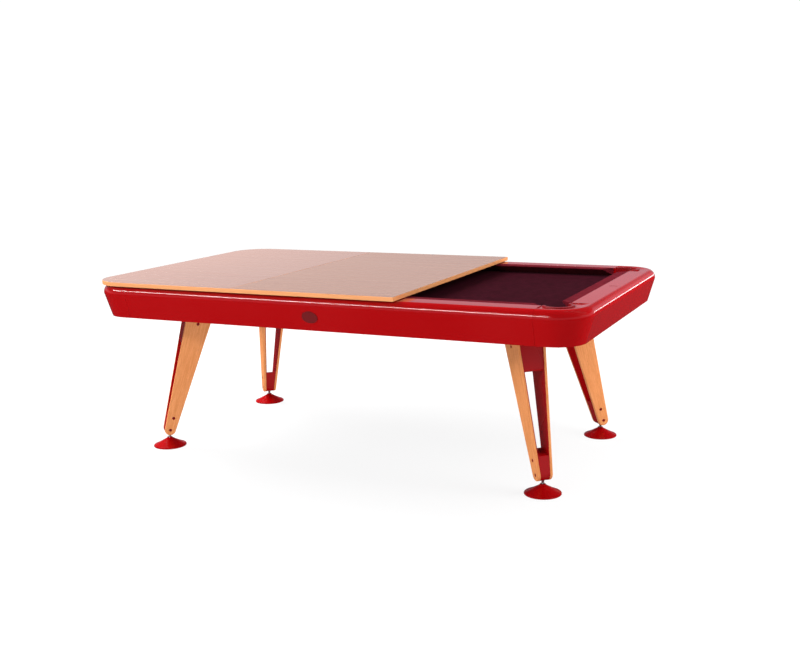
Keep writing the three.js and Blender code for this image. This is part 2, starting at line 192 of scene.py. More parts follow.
def endTree(tree, surface):
    shader = addNode(tree, "ShaderNodeBsdfPrincipled", surface)
    output = addNode(tree, "ShaderNodeOutputMaterial", {"Surface": shader.outputs[0]})
    output.is_active_output = True


# finishes
# A noise mostly runs from 0.3 to 0.7, so those are the ends where one is spread over a range.

enamelLook = {
    "colour": "#9f0306",
    "deepColour": "#970205",
    "roughness": 0.11,
    "specular": 0.5,
    "driftPerMetre": 2.2,  # the colour drifts slowly, over about half a metre
    "peelSize": 4 * mm,  # the slight ripple of sprayed enamel
    "peelDepth": 0.008 * mm,
}

# Sprayed and stoved gloss enamel on pressed steel: even red, a clean soft shine, faint ripple.
def makeRedEnamel(name, look):
    material, tree = emptyMaterial(name)
    coords = addNode(tree, "ShaderNodeTexCoord").outputs["Object"]
    drift = addNode(
        tree, "ShaderNodeTexNoise", {"Vector": coords, "Scale": look["driftPerMetre"], "Detail": 2.0}
    ).outputs[0]
    peel = addNode(
        tree, "ShaderNodeTexNoise", {"Vector": coords, "Scale": 1 / look["peelSize"], "Detail": 1.0}
    ).outputs[0]
    colour = addNode(
        tree, "ShaderNodeMix",
        {0: drift, 6: linear(look["deepColour"]), 7: linear(look["colour"])}, data_type="RGBA",
    ).outputs[2]
    low, high = look["roughness"] - 0.02, look["roughness"] + 0.03
    rough = addNode(tree, "ShaderNodeMapRange", {0: drift, 1: 0.3, 2: 0.7, 3: low, 4: high}).outputs[0]
    ripple = addNode(tree, "ShaderNodeBump", {"Height": peel, "Distance": look["peelDepth"]}).outputs[0]
    endTree(tree, {
        "Base Color": colour, "Roughness": rough, "Normal": ripple,
        "IOR": 1.48, "Specular IOR Level": look["specular"],
    })
    return material


redEnamel = makeRedEnamel("stoved red enamel", enamelLook)
legEnamel = makeRedEnamel(
    "red enamel on the leg castings",
    {**enamelLook, "roughness": 0.26, "peelSize": 3 * mm, "peelDepth": 0.02 * mm},
)
boltEnamel = makeRedEnamel(
    "red enamel on the bolt heads",
    {**enamelLook, "colour": "#8c0306", "deepColour": "#7a0205", "roughness": 0.3, "peelSize": 2 * mm},
)
footEnamel = makeRedEnamel(
    "red enamel on the turned feet",
    {**enamelLook, "colour": "#9c0306", "deepColour": "#920205", "roughness": 0.22, "specular": 0.15},
)

plasticLook = {
    "colour": "#860a11",
    "deepColour": "#74080d",
    "roughness": 0.22,
    "driftPerMetre": 12.0,
    "texture": 1.4 * mm,  # fine spark-eroded mould texture, drawn a little coarser so that it shows
    "textureDepth": 0.03 * mm,
}

# Moulded ABS: evenly coloured through, smooth on the ring, with the mould's fine texture.
def makePocketPlastic(look):
    material, tree = emptyMaterial("moulded red ABS")
    coords = addNode(tree, "ShaderNodeTexCoord").outputs["Object"]
    grains = addNode(
        tree, "ShaderNodeTexVoronoi", {"Vector": coords, "Scale": 1 / look["texture"]}
    ).outputs["Distance"]
    drift = addNode(
        tree, "ShaderNodeTexNoise", {"Vector": coords, "Scale": look["driftPerMetre"], "Detail": 1.0}
    ).outputs[0]
    shade = addNode(tree, "ShaderNodeMapRange", {0: drift, 1: 0.3, 2: 0.7}).outputs[0]
    colour = addNode(
        tree, "ShaderNodeMix",
        {0: shade, 6: linear(look["deepColour"]), 7: linear(look["colour"])}, data_type="RGBA",
    ).outputs[2]
    low, high = look["roughness"], look["roughness"] + 0.08
    rough = addNode(tree, "ShaderNodeMapRange", {0: grains, 2: 0.6, 3: low, 4: high}).outputs[0]
    bumps = addNode(tree, "ShaderNodeBump", {"Height": grains, "Distance": look["textureDepth"]}).outputs[0]
    endTree(tree, {"Base Color": colour, "Roughness": rough, "Normal": bumps, "IOR": 1.53})
    return material


pocketPlastic = makePocketPlastic(plasticLook)

# the duller, pinkish tones of the board tops are partly painted reflection of the white room at low angles,
# laid over the oak's own colour
boardLook = {
    "pale": "#b99482",
    "warm": "#b08877",
    "dark": "#96705c",
    "roughness": 0.25,
    "roughSpread": (0.05, -0.03),
    "wax": 0.6,  # hard wax rubbed over the oil: a thin shine that shows at low angles
    "grainWidth": 7 * mm,
    "grainLength": 420 * mm,
    "grainRoughness": 0.62,
    "waviness": 0.35,
    "poreWidth": 0.9 * mm,
    "poreLength": 22 * mm,
    "poreStart": 0.62,
    "poreStrength": 0.55,
    "poreDepth": 0.04 * mm,
    "poreBump": 0.5,
    "plankWidth": 164 * mm,  # veneer leaves laid side by side
}
legWoodLook = {
    "pale": "#eb9a5e",
    "warm": "#d5803f",
    "dark": "#a85c28",
    "roughness": 0.42,
    "roughSpread": (0.06, -0.04),
    "wax": 0.0,
    "grainWidth": 5 * mm,
    "grainLength": 190 * mm,
    "grainRoughness": 0.6,
    "waviness": 0.5,
    "poreWidth": 0.8 * mm,
    "poreLength": 14 * mm,
    "poreStart": 0.6,
    "poreStrength": 0.6,
    "poreDepth": 0.06 * mm,
    "poreBump": 0.6,
}


def leafCoords(tree, plankWidth):
    # every veneer leaf shows another part of the grain, so the joints between leaves can be seen
    coords = addNode(tree, "ShaderNodeTexCoord").outputs["Object"]
    across = addNode(tree, "ShaderNodeSeparateXYZ", {0: coords}).outputs[1]
    leaf = addNode(tree, "ShaderNodeMath", {0: across, 1: plankWidth}, operation="DIVIDE").outputs[0]
    number = addNode(tree, "ShaderNodeMath", {0: leaf}, operation="FLOOR").outputs[0]
    shift = addNode(tree, "ShaderNodeMath", {0: number, 1: 3.71}, operation="MULTIPLY").outputs[0]
    moved = addNode(tree, "ShaderNodeCombineXYZ", {0: shift, 1: shift}).outputs[0]
    return addNode(tree, "ShaderNodeVectorMath", {0: coords, 1: moved}, operation="ADD").outputs[0]


def streaks(tree, coords, width, length, along, noise):
    # noise drawn out along the wood; width and length are those of one streak
    scale = [1 / width] * 3
    scale[along] = 1 / length
    place = addNode(tree, "ShaderNodeMapping", {"Vector": coords, "Scale": scale}).outputs[0]
    return addNode(tree, "ShaderNodeTexNoise", {"Vector": place, "Scale": 1.0, **noise}).outputs[0]


# Oiled oak: quiet grain with short dark pores and a satin shine. On the boards it is straight
# veneer along the table. On the legs it is solid wood, and it reads each board's own grain
# attribute, so that the grain leans with the leg.
def makeOak(name, look):
    material, tree = emptyMaterial(name)
    veneered = "plankWidth" in look
    if veneered:
        coords, along = leafCoords(tree, look["plankWidth"]), 0
    else:
        coords, along = addNode(tree, "ShaderNodeAttribute", attribute_name="grain").outputs["Vector"], 2
    streakSize = (look["grainWidth"], look["grainLength"], along)
    figure = {"Detail": 6.0, "Roughness": look["grainRoughness"], "Distortion": look["waviness"]}
    grain = streaks(tree, coords, *streakSize, figure)
    pores = streaks(tree, coords, look["poreWidth"], look["poreLength"], along, {"Detail": 2.0})
    pale, warm, dark = [linear(look[tone]) for tone in ("pale", "warm", "dark")]
    tone = addNode(tree, "ShaderNodeMapRange", {0: grain, 1: 0.3, 2: 0.7}).outputs[0]
    ground = addNode(tree, "ShaderNodeMix", {0: tone, 6: warm, 7: pale}, data_type="RGBA").outputs[2]
    if veneered:
        # broad bands of the warm colour, as a sliced log shows
        bands = streaks(tree, coords, *streakSize, {"Scale": 0.22, "Detail": 3.0, "Distortion": 0.8})
        bandTone = addNode(tree, "ShaderNodeMapRange", {0: bands, 1: 0.35, 2: 0.65}).outputs[0]
        ground = addNode(
            tree, "ShaderNodeMix", {0: bandTone, 6: warm, 7: ground}, data_type="RGBA"
        ).outputs[2]
    poreRange = {1: look["poreStart"], 2: look["poreStart"] + 0.1, 4: look["poreStrength"]}
    poreMask = addNode(tree, "ShaderNodeMapRange", {0: pores, **poreRange}).outputs[0]
    colour = addNode(tree, "ShaderNodeMix", {0: poreMask, 6: ground, 7: dark}, data_type="RGBA").outputs[2]
    low, high = [look["roughness"] + change for change in look["roughSpread"]]
    rough = addNode(tree, "ShaderNodeMapRange", {0: grain, 1: 0.3, 2: 0.7, 3: low, 4: high}).outputs[0]
    relief = addNode(
        tree, "ShaderNodeBump",
        {"Height": pores, "Distance": look["poreDepth"], "Strength": look["poreBump"]},
    ).outputs[0]
    endTree(tree, {
        "Base Color": colour, "Roughness": rough, "Normal": relief,
        "IOR": 1.5, "Coat Weight": look["wax"], "Coat Roughness": 0.2,
    })
    return material


boardVeneer = makeOak("oiled oak veneer", boardLook)
# the same veneer from another log: a shade deeper, so the two boards read apart
deeperVeneer = makeOak(
    "oiled oak veneer, deeper log",
    {**boardLook, "pale": "#b48c74", "warm": "#aa806a", "dark": "#8e6650"},
)
# the boards' upright faces: the same oak in its own warm colour, while the top faces carry duller, pinker
# tones that are partly painted reflection
boardSideOak = makeOak(
    "oiled oak on the board sides",
    {**boardLook, "pale": "#e29a5f", "warm": "#d88f57", "dark": "#b87541", "roughness": 0.5,
     "plankWidth": 900 * mm, "wax": 0.1},
)
legOak = makeOak("planed and oiled oak", legWoodLook)

clothLook = {
    "colour": "#21050c",
    "light": "#300a15",
    "edge": "#c06a78",
    "thread": 1.6 * mm,  # the real weave is about 0.7 mm; drawn coarser so that it shows
    "twillAngle": 27,
    "reliefDepth": 0.12 * mm,
    "fuzz": 0.02,
}

# Worsted wool napped on one side: matt wine red, tight twill, a soft pale edge at low angles.
def makeWoolCloth(name, look):
    material, tree = emptyMaterial(name)
    coords = addNode(tree, "ShaderNodeTexCoord").outputs["Object"]
    scale, turn = (1 / look["thread"],) * 3, (0, 0, math.radians(look["twillAngle"]))
    twill = addNode(
        tree, "ShaderNodeMapping", {"Vector": coords, "Scale": scale, "Rotation": turn}
    ).outputs[0]
    weave = addNode(
        tree, "ShaderNodeTexWave",
        {"Vector": twill, "Scale": 1.0 / 6.28, "Distortion": 1.2, "Detail": 1.0, "Detail Scale": 2.0},
        wave_type="BANDS", bands_direction="DIAGONAL",
    ).outputs[0]
    fibres = addNode(tree, "ShaderNodeTexNoise", {"Vector": twill, "Scale": 0.8, "Detail": 3.0}).outputs[0]
    nap = addNode(tree, "ShaderNodeTexNoise", {"Vector": coords, "Scale": 40.0, "Detail": 4.0}).outputs[0]
    mixture = addNode(tree, "ShaderNodeMath", {0: fibres, 1: nap}, operation="MULTIPLY").outputs[0]
    tone = addNode(tree, "ShaderNodeMapRange", {0: mixture, 1: 0.15, 2: 0.4}).outputs[0]
    colour = addNode(
        tree, "ShaderNodeMix",
        {0: tone, 6: linear(look["colour"]), 7: linear(look["light"])}, data_type="RGBA",
    ).outputs[2]
    height = addNode(tree, "ShaderNodeMath", {0: weave, 1: fibres}, operation="ADD").outputs[0]
    relief = addNode(
        tree, "ShaderNodeBump", {"Height": height, "Distance": look["reliefDepth"], "Strength": 0.5}
    ).outputs[0]
    endTree(tree, {
        "Base Color": colour, "Roughness": 0.92, "Normal": relief,
        "IOR": 1.45, "Specular IOR Level": 0.04,
        "Sheen Weight": look["fuzz"], "Sheen Roughness": 0.5, "Sheen Tint": linear(look["edge"]),
    })
    return material


bedWool = makeWoolCloth("worsted wool on the bed", clothLook)
# the bed's wool again, given a lighter colour and more sheen: painted light where the cushion tops catch the
# light at low angles
cushionWoolPaintedLight = makeWoolCloth(
    "worsted wool stretched over rubber",
    {**clothLook, "colour": "#4a0e17", "light": "#60151f", "fuzz": 0.04},
)


# A plain finish carried by one noise: two close colours, a range of roughness and, where it
# has one, a relief. perMetre is how many grains of it lie in a metre along each axis.
def makePlain(name, perMetre, detail, colours, roughness, surface, relief=None):
    material, tree = emptyMaterial(name)
    coords = addNode(tree, "ShaderNodeTexCoord").outputs["Object"]
    place = addNode(tree, "ShaderNodeMapping", {"Vector": coords, "Scale": perMetre}).outputs[0]
    noise = addNode(
        tree, "ShaderNodeTexNoise", {"Vector": place, "Scale": 1.0, "Detail": detail}
    ).outputs[0]
    low, high = [linear(colour) for colour in colours]
    colour = addNode(tree, "ShaderNodeMix", {0: noise, 6: low, 7: high}, data_type="RGBA").outputs[2]
    rough = addNode(
        tree, "ShaderNodeMapRange", {0: noise, 1: 0.3, 2: 0.7, 3: roughness[0], 4: roughness[1]}
    ).outputs[0]
    surface = {**surface, "Base Color": colour, "Roughness": rough}
    if relief:
        bumps = {"Height": noise, "Distance": relief[0], "Strength": relief[1]}
        surface["Normal"] = addNode(tree, "ShaderNodeBump", bumps).outputs[0]
    endTree(tree, surface)
    return material


# Split slate, ground flat: blue grey with faint cleavage layers, dull.
groundSlate = makePlain(
    "ground slate", (3, 3, 180), 8.0, ("#3b4148", "#565c63"), (0.7, 0.85),
    {"IOR": 1.55}, relief=(0.3 * mm, 0.5),
)
# Hot-rolled steel with black powder coat: matt, fine orange-peel bumps.
blackCoat = makePlain(
    "black powder-coated steel", (700, 700, 700), 2.0, ("#141416", "#232326"), (0.45, 0.6),
    {"IOR": 1.5}, relief=(0.06 * mm, 0.6),
)
# Turned steel, bright zinc plated: light silver with fine rings from turning.
zincSteel = makePlain(
    "bright zinc-plated steel", (30, 30, 1500), 3.0, ("#c9cac8", "#e6e6e3"), (0.2, 0.34),
    {"Metallic": 1.0},
)
# Glass enamel on a stamped badge: deep red with a glassy skin over a slightly raised rim.
badgeEnamel = makePlain(
    "deep red glass enamel", (900, 900, 900), 2.0, ("#650b0f", "#6e0e12"), (0.27, 0.3),
    {"IOR": 1.52, "Coat Weight": 0.5, "Coat Roughness": 0.08},
)
# Moulded red plastic let into the rail for the sight lines: dull, so it shows as a dark stroke.
sightInlay = makePlain(
    "dull red inlay plastic", (260, 260, 260), 2.0, ("#56070c", "#6a0b12"), (0.6, 0.7),
    {"IOR": 1.5, "Specular IOR Level": 0.0},
)
print("finishes made")


# where the main pieces are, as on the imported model

table = {
    "halfLength": 1130 * mm,
    "halfWidth": 653 * mm,
    "cornerRadius": 150 * mm,
    "seamX": 936 * mm,  # where the straight rails meet the corner castings
    "seamY": 455 * mm,
    "railTop": 777 * mm,
    "skirtBottom": 635 * mm,
    "clothTop": 741 * mm,
    "clearance": 0.3 * mm,
}


def camelName(words):
    first, *rest = words.split("_")
    return first + "".join(word.title() for word in rest)


cornerX = table["halfLength"] - table["cornerRadius"]
cornerY = table["halfWidth"] - table["cornerRadius"]
pocketCentres = {
    f"{side}_{end}": (signX * 995 * mm, signY * (523 if signX else 556) * mm, signX, signY)
    for side, signY in (("front", -1), ("back", 1))
    for end, signX in (("left", -1), ("middle", 0), ("right", 1))
}

# rails: pressed skins with a flat top, a rolled bullnose and a skirt that slopes in

rail = {
    "wall": 3 * mm,
    "noseDepth": 30 * mm,
    "noseHeight": 37 * mm,
    "skirtInset": 31 * mm,
    "lip": 18 * mm,
    "flatWidth": 105 * mm,
    "innerLipBottom": 742 * mm,
    "seamSoftness": 0.7 * mm,
    "cornerDish": 3 * mm,
    "dishWidth": 36 * mm,
    "pocketHole": 51.3 * mm,
    "holeBottom": 700 * mm,
    "holeTop": 800 * mm,
}


def railSection(dish):
    # (distance in from the outline, height) round the skin, outside then inside;
    # the nose is a quarter ellipse from the flat top round to the skirt
    depth, height, wall, top = rail["noseDepth"], rail["noseHeight"], rail["wall"], table["railTop"]
    bottom, inset = table["skirtBottom"], rail["skirtInset"]
    drop = top - height - bottom
    across = wall / math.cos(math.atan2(inset, drop))

    steps = 8
    dishCurve = [
        (depth + rail["dishWidth"] * i / steps, top - dish * (1 - math.cos(math.pi * i / steps)) / 2)
        for i in range(steps, 0, -1)
    ]
    flat = top - dish
    outside = [
        (rail["flatWidth"], rail["innerLipBottom"]),
        (rail["flatWidth"], flat),
        *(dishCurve if dish else []),
        *arcPoints(depth, top - height, depth, 90, 180, 18, rise=height),
        (inset, bottom),
        (inset + rail["lip"], bottom),
        (inset + rail["lip"], bottom + wall),
    ]
    inside = [
        (inset * (drop - wall) / drop + across, bottom + wall),
        *arcPoints(depth, top - height, depth - wall, 180, 90, 8, rise=height - wall),
        *([(d, z - wall) for d, z in reversed(dishCurve)] if dish else []),
        (rail["flatWidth"] - wall, flat - wall),
        (rail["flatWidth"] - wall, rail["innerLipBottom"]),
    ]
    return outside + inside


def railRing(section, x, y, outX, outY):
    return [(x - outX * d, y - outY * d, z) for d, z in section]


def finishRail(piece, node, pocketCentre=None):
    softenEdges(piece, rail["seamSoftness"], 2, 60)
    if pocketCentre:
        size = (rail["pocketHole"], rail["holeBottom"], rail["holeTop"])
        cutAway(piece, [roundCutter(pocketCentre, *size, redEnamel)])
    tidyNormals(piece, 35)
    finishPiece(piece, "table", [node])


sides = {
    "front": (0, -1, table["halfWidth"], table["seamX"]),
    "right": (1, 0, table["halfLength"], table["seamY"]),
    "back": (0, 1, table["halfWidth"], table["seamX"]),
    "left": (-1, 0, table["halfLength"], table["seamY"]),
}
for sideName, (outX, outY, reach, half) in sides.items():
    section = railSection(0)
    along = half - table["clearance"] / 2
    places = np.linspace(-along, along, 9)
    rings = [
        railRing(section, outX * reach - outY * s, outY * reach + outX * s, outX, outY) for s in places
    ]
    piece = makePiece(f"{sideName}RailSkin", *sweep(rings), redEnamel)
    middlePocket = pocketCentres.get(f"{sideName}_middle")
    finishRail(piece, f"rail_{sideName}", middlePocket and middlePocket[:2])

cornerStarts = {"front_left": 180, "front_right": 270, "back_right": 0, "back_left": 90}
for cornerName, start in cornerStarts.items():
    centreX, centreY, signX, signY = pocketCentres[cornerName]
    section = railSection(rail["cornerDish"])
    rings = []
    for outX, outY in arcPoints(0, 0, 1, start, start + 90, 40):
        x = signX * cornerX + table["cornerRadius"] * outX
        y = signY * cornerY + table["cornerRadius"] * outY
        rings.append(railRing(section, x, y, outX, outY))
    # a straight length at each end runs to the seam with the side rail
    seamX = signX * (table["seamX"] + table["clearance"] / 2)
    seamY = signY * (table["seamY"] + table["clearance"] / 2)
    longSide = railRing(section, seamX, signY * table["halfWidth"], 0, signY)
    shortSide = railRing(section, signX * table["halfLength"], seamY, signX, 0)
    ends = (longSide, shortSide) if start % 180 else (shortSide, longSide)
    rings = [ends[0], *rings, ends[1]]
    piece = makePiece(f"{camelName(cornerName)}CornerCasting", *sweep(rings), redEnamel)
    finishRail(piece, f"rail_corner_{cornerName}", (centreX, centreY))
print("rails and corner castings made")


# pockets: a tapered cup and a rounded ring that stands on the rail

pocketSize = {
    "inner": 48 * mm,
    "outer": 51 * mm,
    "cupBottom": 656 * mm,
    "cupRadius": 46 * mm,
    "cupWall": 3 * mm,
    "cupTop": 716 * mm,
    "collarBottom": 741 * mm,
    "ringOuter": 63 * mm,
    "ringTop": 778.7 * mm,
    "ringRoundness": 3.8 * mm,
    "ringShoulder": 5 * mm,
    "floorRadius": 12 * mm,  # the cup's floor rises to its wall in a soft curve
    "cupChamfer": 5 * mm,
    "lap": 1 * mm,  # ring and cup run into each other by this much
    "softness": 0.5 * mm,
    # a corner ring runs from beside the end cushion, round the corner, to beside the long cushion;
    # a middle ring runs this far each way from the middle of its rail; degrees
    "cornerRing": (-58, 154),
    "middleRing": 98,
}


def pocketShapes(centre, signX, signY):
    size = pocketSize
    wall, floor = size["cupWall"], size["cupBottom"] + size["cupWall"]
    lipBottom = table["railTop"] + table["clearance"] - (rail["cornerDish"] if signX else 0)
    bend = size["floorRadius"]
    cup = [
        (0, size["cupBottom"]),
        (size["cupRadius"] - size["cupChamfer"], size["cupBottom"]),
        (size["cupRadius"], size["cupBottom"] + size["cupChamfer"]),
        (size["outer"], size["cupTop"]),
        (size["outer"], size["collarBottom"]),
        (size["inner"], size["collarBottom"]),
        (size["inner"], size["cupTop"]),
        *arcPoints(size["cupRadius"] - wall - bend, floor + bend, bend, 0, -90, 6),
        (0, floor),
    ]
    # the ring's top is rounded over on both sides
    top, inner, outer, into = size["ringTop"], size["inner"], size["ringOuter"], size["ringShoulder"]
    over = min(size["ringRoundness"], (top - lipBottom) * 0.9)
    collar = [
        (inner, size["collarBottom"] - size["lap"]),
        *arcPoints(inner + into, top - over, into, 180, 90, 7, rise=over),
        *arcPoints(outer - into, top - over, into, 90, 0, 7, rise=over),
        (outer, lipBottom),
        (size["outer"], lipBottom),
        (size["outer"], size["collarBottom"] - size["lap"]),
    ]
    # the ring is open towards the bed, so that a ball rolls in
    if signX:
        first, last = size["cornerRing"]
        end = math.radians(first if signX * signY > 0 else last)
        start = math.degrees(math.atan2(signY * math.sin(end), signX * math.cos(end)))
        turn = last - first
    else:
        start, turn = 90 * signY - size["middleRing"], 2 * size["middleRing"]
    return spin(cup, 96, centre), spin(collar, 96, centre, start, turn)


for placeName, (x, y, signX, signY) in pocketCentres.items():
    cupPart, ringPart = pocketShapes((x, y), signX, signY)
    piece = makePiece(f"{camelName(placeName)}Pocket", *joined(cupPart, ringPart), pocketPlastic, 30)
    softenEdges(piece, pocketSize["softness"], 2, 60)
    tidyNormals(piece, 30)
    finishPiece(piece, "table", [f"pocket_{placeName}"])
print("pockets made")


# bed cloth, stretched flat over the slate and cut round the pockets

bedCut = {
    "length": 2124 * mm,
    "width": 1166 * mm,
    "thickness": 1 * mm,
    "pocketHole": 52 * mm,
}
halfX, halfY = bedCut["length"] / 2, bedCut["width"] / 2
clothTop, clothBottom = table["clothTop"], table["clothTop"] - bedCut["thickness"]
outline = [(-halfX, -halfY), (halfX, -halfY), (halfX, halfY), (-halfX, halfY)]
rings = [[(x, y, z) for x, y in outline] for z in (clothBottom, clothTop)]
bedSheet = makePiece("bedCloth", *sweep(rings), bedWool)
holeSize = (bedCut["pocketHole"], clothBottom, clothTop + 9 * mm)
cutAway(bedSheet, [roundCutter(p[:2], *holeSize, bedWool) for p in pocketCentres.values()])
tidyNormals(bedSheet, 30)
finishPiece(bedSheet, "table", ["bed_cloth"])


# cushions: rubber noses with the cloth pulled over them

cushion = {
    "back": 105.3 * mm,
    "nose": 152 * mm,
    "top": 777 * mm,
    "noseTop": 776.5 * mm,
    "noseBottom": 770 * mm,
    "backBottom": 741.5 * mm,
    "noseRound": 3 * mm,
    "crown": 0.6 * mm,  # the cloth dips this much where it is tucked in beside the rail
    "cornerNose": 895 * mm,
    "cornerBack": 932 * mm,
    "middleNose": 66 * mm,
    "middleBack": 65 * mm,
    # the last rings at each end draw in, so the cloth turns round the rubber's ends:
    # (share of the length, share of the draw)
    "endRings": ((0.0, 1.0), (0.0016, 0.35), (0.004, 0.0)),
    "endDraw": 1.5 * mm,
    "drawnTo": 767 * mm,  # the height towards which the ends draw in
}


def cushionSection():
    c = cushion
    tip, r = c["nose"] - c["noseRound"], c["noseRound"]
    middle = (c["noseTop"] + c["noseBottom"]) / 2
    half = (c["noseTop"] - c["noseBottom"]) / 2
    fall = c["noseTop"] - c["top"]
    rise = [
        (c["back"] + (tip - c["back"]) * t, c["top"] + fall * t - c["crown"] * (1 - t) ** 8)
        for t in np.linspace(0.0, 1.0, 8)
    ]
    nose = arcPoints(tip, middle, r, 90, -90, 10, rise=half)[1:]
    return [*rise, *nose, (c["back"], c["backBottom"])]


def cushionPiece(name, side, ends, node):
    outX, outY, reach, _ = sides[side]
    section = cushionSection()
    c = cushion
    (startNose, startBack), (endNose, endBack) = ends
    steps = [*c["endRings"], *((t, 0.0) for t in np.linspace(0.02, 0.98, 25))]
    steps += [(1 - t, pull) for t, pull in reversed(c["endRings"])]
    rings = []
    for t, pull in steps:
        ring = []
        for d, z in section:
            inward = (d - c["back"]) / (c["nose"] - c["back"])
            first = startBack + (startNose - startBack) * inward
            last = endBack + (endNose - endBack) * inward
            s = first + (last - first) * t
            shrink = pull * c["endDraw"]
            out = reach - (d - shrink * max(0.0, inward))
            height = z - shrink / 2 if z > c["drawnTo"] else z + shrink / 2
            ring.append((outX * out - outY * s, outY * out + outX * s, height))
        rings.append(ring)
    piece = makePiece(name, *sweep(rings), cushionWoolPaintedLight, 50)
    finishPiece(piece, "table", [node])
    return piece


cornerEnd = (cushion["cornerNose"], cushion["cornerBack"])
middleEnd = (cushion["middleNose"], cushion["middleBack"])
shortNose = 418 * mm
shortEnd = (shortNose, shortNose + cushion["cornerBack"] - cushion["cornerNose"])


def negative(pair):
    return (-pair[0], -pair[1])


for side, (first, second) in {"front": ("left", "right"), "back": ("right", "left")}.items():
    halves = {first: (negative(cornerEnd), negative(middleEnd)), second: (middleEnd, cornerEnd)}
    for name, ends in halves.items():
        cushionPiece(f"{side}{name.title()}Cushion", side, ends, f"cushion_{side}_{name}")
for side in ("left", "right"):
    cushionPiece(f"{side}EndCushion", side, (negative(shortEnd), shortEnd), f"cushion_end_{side}")
print("cushions made")


# dining boards: veneered slabs with rounded edges that lift off

board = {
    "underside": 779 * mm,
    "thickness": 18 * mm,
    "halfLength": 1134 * mm,
    "halfWidth": 657 * mm,
    "cornerRadius": 154 * mm,
    "seam": -382 * mm,
    "rightEdge": 374 * mm,
    "edgeRound": 2.2 * mm,
}


def boardOutline(left, right, roundLeft, inset):
    w, r = board["halfWidth"] - inset, board["cornerRadius"] - inset
    left, right = left + inset, right - inset
    if roundLeft:
        leftEnd = arcPoints(left + r, w - r, r, 90, 180, 32) + arcPoints(left + r, r - w, r, 180, 270, 32)
    else:
        leftEnd = [(left, w), (left, -w)]
    return [(right, -w), (right, w), *leftEnd]


def boardPiece(name, left, right, roundLeft, node, veneer):
    low, high, r = board["underside"], board["underside"] + board["thickness"], board["edgeRound"]
    rings = [
        [(x, y, z) for x, y in boardOutline(left, right, roundLeft, inset)]
        for inset, z in roundedLevels(low, high, r, r, 6)
    ]
    piece = makePiece(name, *sweep(rings), veneer, 30)
    piece.data.materials.append(boardSideOak)
    # upright faces take the warm side oak; the top faces keep the duller, pinker colour with its painted
    # reflection
    for polygon in piece.data.polygons:
        polygon.material_index = 1 if abs(polygon.normal.z) < 0.8 else 0
    return finishPiece(piece, node, [node])


leftEnd, rightEnd = -board["halfLength"], board["rightEdge"]
seamLeft, seamRight = board["seam"] - table["clearance"] / 2, board["seam"] + table["clearance"] / 2
boardPiece("leftDiningBoard", leftEnd, seamLeft, True, "dining_board_left", boardVeneer)
boardPiece("middleDiningBoard", seamRight, rightEnd, False, "dining_board_middle", deeperVeneer)
print("dining boards made")


# legs: two oak boards bolted to a forked steel core
# drawn about the foot's centre with X outwards along the leg's upright plane, then turned into place

leg = {
    "footX": 909 * mm,
    "footY": 436 * mm,
    "angle": 44,
    "endHeight": 80 * mm,
    "endRadius": 25.2 * mm,
    "endShift": -1.4 * mm,
    "outerLean": 13.5,
    "innerLean": 20.4,
    "top": 644 * mm,
    "gapAtEnd": 21.1 * mm,
    "splay": 3.47,
    "steel": 3 * mm,
    "wood": 12 * mm,
    "woodRound": 4.2 * mm,
    "woodBackRound": 1.2 * mm,
    "steelRound": 0.9 * mm,
    "webBottom": 480 * mm,
    "webSink": 2.5 * mm,
    "webLip": 14 * mm,
    "webBend": 9 * mm,
    "blockOuterTop": 157 * mm,
    "blockInnerTop": 170 * mm,
    "stemHole": 6.3 * mm,  # the foot's stem screws up into the block
    "stemHoleBottom": 50 * mm,
    "stemHoleTop": 73.3 * mm,
    "plateInner": -262 * mm,
    "plateOuter": -92 * mm,
    "plateHalf": 72 * mm,
    "plateThickness": 6 * mm,
    "plateBottom": 645 * mm,
    "plateCorner": 8 * mm,
    "weldLap": 0.5 * mm,  # welded pieces run into each other by this much
    "blockInset": 0.4 * mm,
}
outerTan = math.tan(math.radians(leg["outerLean"]))
innerTan = math.tan(math.radians(leg["innerLean"]))


def outerEdge(z, inset=0.0):
    reach = (leg["endRadius"] - inset) / math.cos(math.radians(leg["outerLean"]))
    return leg["endShift"] + reach - outerTan * (z - leg["endHeight"])


def innerEdge(z, inset=0.0):
    reach = (leg["endRadius"] - inset) / math.cos(math.radians(leg["innerLean"]))
    return leg["endShift"] - reach - innerTan * (z - leg["endHeight"])


def halfGap(z):
    return leg["gapAtEnd"] + math.tan(math.radians(leg["splay"])) * (z - leg["endHeight"])


def bladeOutline(outerTop, innerTop, inset=0.0, steps=22):
    # the leg's side view: two leaning edges that run into a round lower end
    end = arcPoints(
        leg["endShift"], leg["endHeight"], leg["endRadius"] - inset,
        leg["innerLean"] - 180, leg["outerLean"], steps,
    )
    return [(innerEdge(innerTop, inset), innerTop), *end, (outerEdge(outerTop, inset), outerTop)]


def bladePlate(side, near, far, nearRound, farRound, outerTop, innerTop):
    # a plate of that side view between two splayed faces, with its edges rounded over
    rings = []
    for inset, lift in roundedLevels(near, far, nearRound, farRound, 7):
        outlinePoints = bladeOutline(outerTop - inset, innerTop - inset, inset)
        rings.append([(x, side * (halfGap(z) + lift), z) for x, z in outlinePoints])
    return sweep(rings)


def blockBetween(outlinePoints, reachIn):
    rings = [[(x, side * (halfGap(z) - reachIn), z) for x, z in outlinePoints] for side in (1, -1)]
    return sweep(rings)


